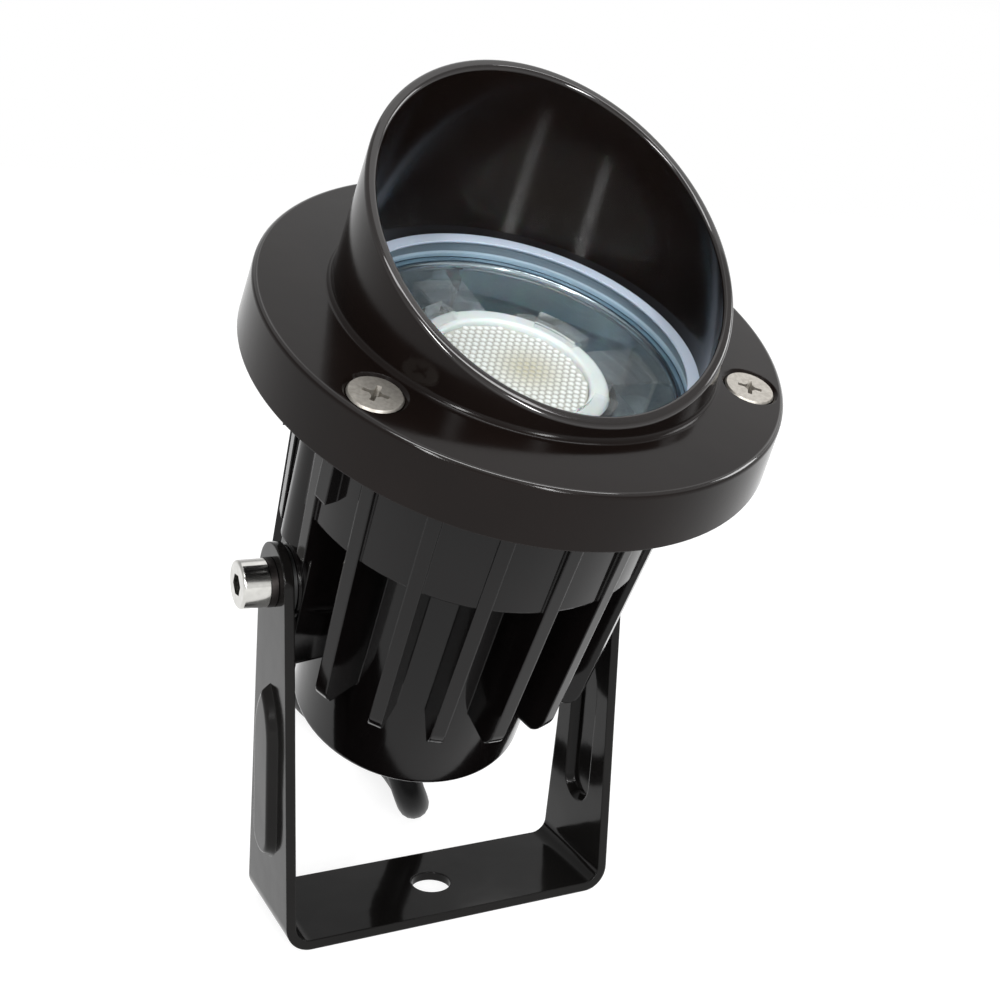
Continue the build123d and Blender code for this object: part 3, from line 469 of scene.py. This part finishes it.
source_share = add(
    lens_acrylic,
    "MapRange",
    {"interpolation_type": "SMOOTHSTEP", "From Max": source_reach * MM, "To Min": 1.0, "To Max": 0.0},
    {"Value": from_source.outputs["Value"]},
)
crown_tone = add(
    lens_acrylic,
    "MixRGB",
    {"Color1": linear("#fdfdfb"), "Color2": linear("#d2c9ae")},
    {"Fac": source_share.outputs["Result"]},
)
lens_tone_and_valley_shade = add(
    lens_acrylic,
    "MixRGB",
    {"Color1": linear("#bfbcb3")},
    {"Fac": valley_shade_share.outputs["Result"], "Color2": crown_tone.outputs["Color"]},
)
lens_shader = add(
    lens_acrylic,
    "BsdfPrincipled",
    {"Roughness": 0.06, "IOR": 1.6},
    {"Base Color": lens_tone_and_valley_shade.outputs["Color"]},
)
add(lens_acrylic, "OutputMaterial", links={"Surface": lens_shader.outputs["BSDF"]})
lens_domes = make_piece("lens_domes", domes_shape, lens_acrylic)
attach(lens_domes, "head")
finish_node("lens", plain_finish("smooth_moulded_acrylic", "#c9c6ba", "#d9d8d2", 3.0, 0.08))


# Lens carrier: clear acrylic, injection moulded, four hollow arms about a hub, with clips over the cup.
# Its thin walls bend the view only a little, so they have a low index under a glossy coat.
def clear_material(name, colour, index, clearness, coat):
    """A clear solid: it bends what is seen through it and lets the lamps' light pass."""
    material, where = new_material(name)
    waves = add(material, "TexNoise", {"Scale": 1 / (9 * MM), "Detail": 1.0}, {"Vector": where})
    ripple = add(
        material, "Bump", {"Strength": 0.03, "Distance": 0.05 * MM}, {"Height": waves.outputs["Fac"]}
    )
    body = add(
        material,
        "BsdfPrincipled",
        {
            "Base Color": linear(colour),
            "Roughness": 0.0,
            "IOR": index,
            "Transmission Weight": clearness,
            "Coat Weight": coat,
            "Coat Roughness": 0.04,
        },
        {"Normal": ripple.outputs["Normal"]},
    )
    passing = add(material, "BsdfTransparent", {"Color": linear(colour)})
    rays = add(material, "LightPath")
    either = add(
        material,
        "Math",
        {"operation": "MAXIMUM"},
        {0: rays.outputs["Is Shadow Ray"], 1: rays.outputs["Is Diffuse Ray"]},
    )
    mixed = add(
        material,
        "MixShader",
        links={0: either.outputs[0], 1: body.outputs[0], 2: passing.outputs[0]},
    )
    add(material, "OutputMaterial", links={"Surface": mixed.outputs[0]})
    return material


finish_node("lens_carrier", clear_material("clear_moulded_acrylic", "#ffffff", 1.08, 0.95, 1.0))

# Gasket: a U-section ring moulded in pale blue-grey silicone, pressed over the glass's edge.
# Its colour is painted in bands by height: pale in the open lip, and below it darker bands of painted shade
# and lighter bands of painted highlight.
gasket_low = 38.15
gasket_high = 43.25
# Painted light and shade: each band's colour, by height in the head, stands for shade or highlight seen under
# the glass.
gasket_light_and_shade_bands = {
    38.2: "#7c93a4",
    39.0: "#adc0ce",
    39.3: "#2f3b46",
    40.3: "#566a7a",
    40.9: "#93a8b8",
    41.5: "#43545f",
    42.4: "#5f7283",
    42.8: "#adbccf",
    43.2: "#c3d0e1",
}
silicone, place = new_material("moulded_pale_silicone")
gasket_upright = add(
    silicone,
    "Mapping",
    head_upright,
    {"Vector": place},
)
gasket_level = add(silicone, "SeparateXYZ", links={0: gasket_upright.outputs["Vector"]})
gasket_share = add(
    silicone,
    "MapRange",
    {"From Min": gasket_low * MM, "From Max": gasket_high * MM},
    {"Value": gasket_level.outputs["Z"]},
)
silicone_painted_light_and_shade = add(silicone, "ValToRGB", links={"Fac": gasket_share.outputs["Result"]})
band_stops = silicone_painted_light_and_shade.color_ramp.elements
for level, colour in gasket_light_and_shade_bands.items():
    band_stops.new((level - gasket_low) / (gasket_high - gasket_low)).color = linear(colour)
band_stops.remove(band_stops[0])
band_stops.remove(band_stops[-1])
silicone_shader = add(
    silicone,
    "BsdfPrincipled",
    {"Roughness": 0.32, "IOR": 1.41, "Subsurface Weight": 0.1, "Subsurface Scale": 1.0 * MM},
    {"Base Color": silicone_painted_light_and_shade.outputs["Color"]},
)
add(silicone, "OutputMaterial", links={"Surface": silicone_shader.outputs["BSDF"]})
finish_node("front_gasket", silicone)

# Front glass: a flat toughened disc, 3 mm thick, with ground edges.
# The drawn sheet is very slightly wavy.
finish_node("front_glass", clear_material("toughened_glass", "#fcfefe", 1.5, 1.0, 0.0))

# Clamping ring and glare shield: one aluminium casting, cut slanting at the rim and drilled for three screws.
# Its gloss paint is a warmer, browner black than the body's, and is glossiest where it flowed over the edges.
ring_top = 45.8
ring_top_radius = 36.7
ring_bottom = 37.5
ring_bottom_radius = 37.5
ring_edge = 0.7
skirt_radius = 35.5
lid_bottom = 42.8
recess_radius = 29.1
lip_bottom = 43.3
lip_radius = 25.39
root_radius = 26.7
root_fillet = 0.8
shield_wall = 1.5
tube_end = 71.5
tube_end_radius = 24.72
rim_middle = 59.41
rim_slope = 0.4264
rim_edge = 0.5
ring_section = (
    (skirt_radius, ring_bottom),
    (ring_bottom_radius, ring_bottom),
    (ring_top_radius, ring_top),
    (root_radius, ring_top),
    (tube_end_radius, tube_end),
    (tube_end_radius - shield_wall, tube_end),
    (lip_radius, lip_bottom),
    (recess_radius, lip_bottom),
    (recess_radius, lid_bottom),
    (skirt_radius, lid_bottom),
    (skirt_radius, ring_bottom),
)
screw_circle = 31.7
screw_angles = (90, 210, 330)
sink_radius = 4.1
sink_above = 1.0
hole_radius = 2.1
hole_depth = 9.0
sink_section = (
    (0, sink_above),
    (sink_radius + sink_above, sink_above),
    (hole_radius, hole_radius - sink_radius),
    (hole_radius, -hole_depth),
    (0, -hole_depth),
)
turning_steps = 144
circle_slack = 0.01


def turn_solid(section):
    """A solid of revolution about Z, from corners given by radius and height in millimetres."""
    shape = bmesh.new()
    corners = [shape.verts.new((reach * MM, 0, level * MM)) for reach, level in section]
    runs = [shape.edges.new(pair) for pair in zip(corners, corners[1:])]
    bmesh.ops.spin(
        shape,
        geom=corners + runs,
        cent=(0, 0, 0),
        axis=(0, 0, 1),
        angle=2 * math.pi,
        steps=turning_steps,
        use_merge=True,
    )
    bmesh.ops.remove_doubles(shape, verts=shape.verts, dist=weld_distance * MM)
    bmesh.ops.recalc_face_normals(shape, faces=shape.faces)
    return shape


def round_edges(shape, edges, radius):
    """Round some edges of a shape to a radius in millimetres."""
    bmesh.ops.bevel(
        shape,
        geom=edges,
        offset=radius * MM,
        offset_type="OFFSET",
        segments=4,
        profile=0.5,
        affect="EDGES",
        material=-1,
    )


def edges_at(shape, reach, level):
    """The edges of a turned shape that lie on one circle about Z."""
    circle = (reach * MM, level * MM)
    found = []
    for edge in shape.edges:
        ends = [(end.co.xy.length, end.co.z) for end in edge.verts]
        if all(math.dist(end, circle) < circle_slack * MM for end in ends):
            found.append(edge)
    return found


def cut_away(blank, tools):
    """The mesh of a blank with some tools cut out of it. The blank and the tools are removed."""
    for tool in tools:
        blank.modifiers.new(tool.name, "BOOLEAN").object = tool
    bpy.context.view_layer.update()
    mesh = bpy.data.meshes.new_from_object(blank.evaluated_get(bpy.context.evaluated_depsgraph_get()))
    for spare in [blank, *tools]:
        bpy.data.objects.remove(spare)
    return mesh


ring_paint = gloss_paint("gloss_brown_black_paint_on_casting", "#0a0706", "#130d0b", 0.14, 0.14, 0.1, 0.2)
where = ring_paint.node_tree.nodes["Texture Coordinate"].outputs["Object"]
ring_upright = add(
    ring_paint,
    "Mapping",
    head_upright,
    {"Vector": where},
)
ring_level = add(ring_paint, "SeparateXYZ", links={0: ring_upright.outputs["Vector"]})
ring_flat = add(
    ring_paint, "VectorMath", {"operation": "MULTIPLY", 1: (1, 1, 0)}, {0: ring_upright.outputs["Vector"]}
)
ring_reach = add(ring_paint, "VectorMath", {"operation": "LENGTH"}, {0: ring_flat.outputs["Vector"]})
outer_share = add(
    ring_paint,
    "MapRange",
    {"From Min": (ring_top_radius - ring_edge) * MM, "From Max": (ring_top_radius - 0.7 * ring_edge) * MM},
    {"Value": ring_reach.outputs["Value"]},
)
upper_share = add(
    ring_paint,
    "MapRange",
    {"From Min": (ring_top - 0.4 * ring_edge) * MM, "From Max": (ring_top - 0.25 * ring_edge) * MM},
    {"Value": ring_level.outputs["Z"]},
)
ring_edge_share = add(
    ring_paint,
    "Math",
    {"operation": "MULTIPLY"},
    {0: outer_share.outputs["Result"], 1: upper_share.outputs["Result"]},
)
rim_level = add(
    ring_paint,
    "VectorMath",
    {"operation": "DOT_PRODUCT", 1: (0, -rim_slope, 1)},
    {0: ring_upright.outputs["Vector"]},
)
rim_share = add(
    ring_paint,
    "MapRange",
    {"From Min": (rim_middle - rim_edge) * MM, "From Max": (rim_middle - 0.5 * rim_edge) * MM},
    {"Value": rim_level.outputs["Value"]},
)
shield_share = add(
    ring_paint,
    "Math",
    {"operation": "LESS_THAN", 1: root_radius * MM},
    {0: ring_reach.outputs["Value"]},
)
rim_edge_share = add(
    ring_paint,
    "Math",
    {"operation": "MULTIPLY"},
    {0: rim_share.outputs["Result"], 1: shield_share.outputs[0]},
)
edge_share = add(
    ring_paint,
    "Math",
    {"operation": "MAXIMUM"},
    {0: ring_edge_share.outputs[0], 1: rim_edge_share.outputs[0]},
)
ring_coat = ring_paint.node_tree.nodes["Principled BSDF"]
ring_coat.inputs["Coat Roughness"].default_value = 0.04
ring_paint.node_tree.links.new(edge_share.outputs[0], ring_coat.inputs["Coat Weight"])

ring_shape = turn_solid(ring_section)
shield_faces = []
for face in ring_shape.faces:
    middle = face.calc_center_median()
    if middle.xy.length < root_radius * MM and middle.z > ring_top * MM:
        shield_faces.append(face)
shield_edges = {edge for face in shield_faces for edge in face.edges}
shield_verts = {vertex for face in shield_faces for vertex in face.verts}
rim_cut = bmesh.ops.bisect_plane(
    ring_shape,
    geom=[*shield_verts, *shield_edges, *shield_faces],
    plane_co=(0, 0, rim_middle * MM),
    plane_no=(0, -rim_slope, 1),
    clear_outer=True,
)
rim_edges = [item for item in rim_cut["geom_cut"] if isinstance(item, bmesh.types.BMEdge)]
bmesh.ops.bridge_loops(ring_shape, edges=rim_edges)
round_edges(ring_shape, rim_edges, rim_edge)
round_edges(ring_shape, edges_at(ring_shape, ring_top_radius, ring_top), ring_edge)
round_edges(ring_shape, edges_at(ring_shape, root_radius, ring_top), root_fillet)
bmesh.ops.recalc_face_normals(ring_shape, faces=ring_shape.faces)
ring_blank = make_piece("ring_blank", ring_shape, ring_paint)
sinks = []
for screw_angle in screw_angles:
    sink_shape = turn_solid(sink_section)
    bmesh.ops.translate(sink_shape, verts=sink_shape.verts, vec=Vector((screw_circle, 0, ring_top)) * MM)
    sink_turn = Matrix.Rotation(math.radians(screw_angle), 3, "Z")
    bmesh.ops.rotate(sink_shape, verts=sink_shape.verts, matrix=sink_turn)
    sinks.append(make_piece("countersink", sink_shape, ring_paint))
drilled_shape = bmesh.new()
drilled_shape.from_mesh(cut_away(ring_blank, sinks))
bmesh.ops.transform(drilled_shape, verts=drilled_shape.verts, matrix=head_place)
clamping_ring = make_piece("clamping_ring_and_shield", drilled_shape, ring_paint)
clamping_ring.modifiers.new("flat_faces", "WEIGHTED_NORMAL").keep_sharp = True
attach(clamping_ring, "head")
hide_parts("front_ring")

# Cover screws: three countersunk M4 screws with cross recesses, cold-headed in stainless steel.
# Each sits a little below the ring's face, its rim broken by a small chamfer.
stainless, place = new_material("bright_stainless_steel")
marks = add(stainless, "TexNoise", {"Scale": 1 / (0.5 * MM), "Detail": 3.0}, {"Vector": place})
marks_tone = add(
    stainless,
    "MixRGB",
    {"Color1": linear("#8e8981"), "Color2": linear("#c8c4bd")},
    {"Fac": marks.outputs["Fac"]},
)
marks_bump = add(
    stainless,
    "Bump",
    {"Strength": 0.25, "Distance": 0.06 * MM},
    {"Height": marks.outputs["Fac"]},
)
stainless_shader = add(
    stainless,
    "BsdfPrincipled",
    {"Metallic": 1.0, "Roughness": 0.48},
    {"Base Color": marks_tone.outputs["Color"], "Normal": marks_bump.outputs["Normal"]},
)
add(stainless, "OutputMaterial", links={"Surface": stainless_shader.outputs["BSDF"]})

screw_level = 45.7
screw_turns = (15, 24, 0)
screw_head_radius = 3.55
screw_chamfer_width = 0.2
screw_chamfer_depth = 0.3
thread_radius = 2.0
screw_length = 8.0
screw_section = (
    (0, 0),
    (screw_head_radius - screw_chamfer_width, 0),
    (screw_head_radius, -screw_chamfer_depth),
    (thread_radius, thread_radius - screw_head_radius - screw_chamfer_depth),
    (thread_radius, -screw_length),
    (0, -screw_length),
)
screw_blank = make_piece("screw_blank", turn_solid(screw_section), stainless)
recess_depth = 1.9
recess_arm = (4.7, 0.85)
recess_taper = 0.45
recess_core = 0.95
recess_tip = 0.2
punches = []
for punch_turn in (0, 90):
    punch_shape = bmesh.new()
    bmesh.ops.create_cube(punch_shape, size=1.0)
    bmesh.ops.scale(punch_shape, verts=punch_shape.verts, vec=Vector((*recess_arm, 2 * recess_depth)) * MM)
    punch_end = [vertex for vertex in punch_shape.verts if vertex.co.z < 0]
    bmesh.ops.scale(punch_shape, verts=punch_end, vec=(recess_taper, recess_taper, 1))
    bmesh.ops.rotate(
        punch_shape, verts=punch_shape.verts, matrix=Matrix.Rotation(math.radians(punch_turn), 3, "Z")
    )
    punches.append(make_piece("recess_arm_punch", punch_shape, stainless))
core_shape = bmesh.new()
bmesh.ops.create_cone(
    core_shape,
    cap_ends=True,
    segments=4,
    radius1=recess_tip * MM,
    radius2=2 * recess_core * MM,
    depth=4 * recess_depth * MM,
)
punches.append(make_piece("recess_core_punch", core_shape, stainless))
punched = cut_away(screw_blank, punches)
screws_shape = bmesh.new()
for screw_angle, screw_turn in zip(screw_angles, screw_turns):
    screw_place = (
        head_place
        @ Matrix.Rotation(math.radians(screw_angle), 4, "Z")
        @ Matrix.Translation(Vector((screw_circle, 0, screw_level)) * MM)
        @ Matrix.Rotation(math.radians(screw_turn), 4, "Z")
    )
    one_screw = punched.copy()
    one_screw.transform(screw_place)
    screws_shape.from_mesh(one_screw)
cover_screws = make_piece("cross_head_cover_screws", screws_shape, stainless)
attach(cover_screws, "head")
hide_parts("cover_screws")

# Plate screws and pivot bolts: pan heads inside, in the same steel, and polished socket heads on the ears.
# The bolts clamp the bracket's ears to the body's bosses, so the head stays where it is set.
finish_node("plate_screws", stainless)
finish_node("pivot_bolts", plain_finish("polished_stainless_steel", "#b0afab", "#d6d5d1", 1.2, 0.17, 1.0))

# Washers at the tilt joint: nylon friction washers inside the ears, and spring lock washers outside.
# The lock washers are split rings of blackened, oiled spring steel.
finish_node("friction_washers", gland_nylon)
finish_node("pivot_lock_washers", plain_finish("blackened_spring_steel", "#211e1d", "#4b4746", 1.5, 0.4, 1.0))

# Bracket: a steel strip, blanked and bent to a U, with a stiffening rib pressed in each leg.
# It is dipped in gloss black enamel, which runs in slow waves and rounds its blanked edges.
bracket_enamel = gloss_paint("gloss_black_enamel_on_steel", "#0a0909", "#131211", 0.15, 0.1, 0.3, 0.4)
finish_node("bracket", bracket_enamel)

# Studio: a white floor that keeps a soft shadow, a white horizon and a grey ceiling.
# The floor glows, so that it reads as white at a plain level of light.
floor_reach = 3000.0
floor_drop = 0.2
floor_shape = bmesh.new()
bmesh.ops.create_grid(floor_shape, x_segments=1, y_segments=1, size=floor_reach * MM)
bmesh.ops.translate(floor_shape, verts=floor_shape.verts, vec=(0, 0, -floor_drop * MM))
floor_white = new_material("white_studio_floor")[0]
floor_paper = add(floor_white, "BsdfDiffuse", {"Color": linear("#949494")})
floor_glow = add(floor_white, "Emission", {"Color": (1, 1, 1, 1), "Strength": 0.82})
floor_sum = add(floor_white, "AddShader", links={0: floor_paper.outputs[0], 1: floor_glow.outputs[0]})
add(floor_white, "OutputMaterial", links={"Surface": floor_sum.outputs[0]})
floor = make_piece("floor", floor_shape, floor_white)

studio = bpy.data.worlds.new("studio")
bpy.context.scene.world = studio
studio.use_nodes = True
studio.node_tree.nodes.clear()
sky_direction = add(studio, "TexCoord")
sky_height = add(studio, "SeparateXYZ", links={0: sky_direction.outputs["Generated"]})
sky_level = add(
    studio,
    "MapRange",
    {"From Min": 0.1, "From Max": 0.5, "To Min": 1.0, "To Max": 0.6},
    {"Value": sky_height.outputs["Z"]},
)
sky_light = add(studio, "Background", {"Color": (1, 1, 1, 1)}, {"Strength": sky_level.outputs["Result"]})
add(studio, "OutputWorld", links={"Surface": sky_light.outputs[0]})

lamp_aim = Vector((0, -15, 75)) * MM
lamps = {
    "overhead_softbox": ((330, 200, 700), (800, 800), 1.6),
    "left_strip": ((-466, -520, 368), (70, 260), 2.6),
    "front_strip": ((-25, -731, 265), (70, 260), 2.6),
    "head_softbox": ((0, -325, 705), (700, 110), 1.9),
    "right_softbox": ((620, -180, 420), (200, 200), 0.8),
}
for name, (lamp_place, (lamp_width, lamp_height), lamp_power) in lamps.items():
    lamp_data = bpy.data.lights.new(name, "AREA")
    lamp_data.shape = "RECTANGLE"
    lamp_data.size = lamp_width * MM
    lamp_data.size_y = lamp_height * MM
    lamp_data.energy = lamp_power
    lamp = bpy.data.objects.new(name, lamp_data)
    lamp.location = Vector(lamp_place) * MM
    lamp.rotation_euler = (lamp_aim - lamp.location).to_track_quat("-Z", "Y").to_euler()
    bpy.context.scene.collection.objects.link(lamp)

bpy.context.scene.view_settings.view_transform = "Standard"
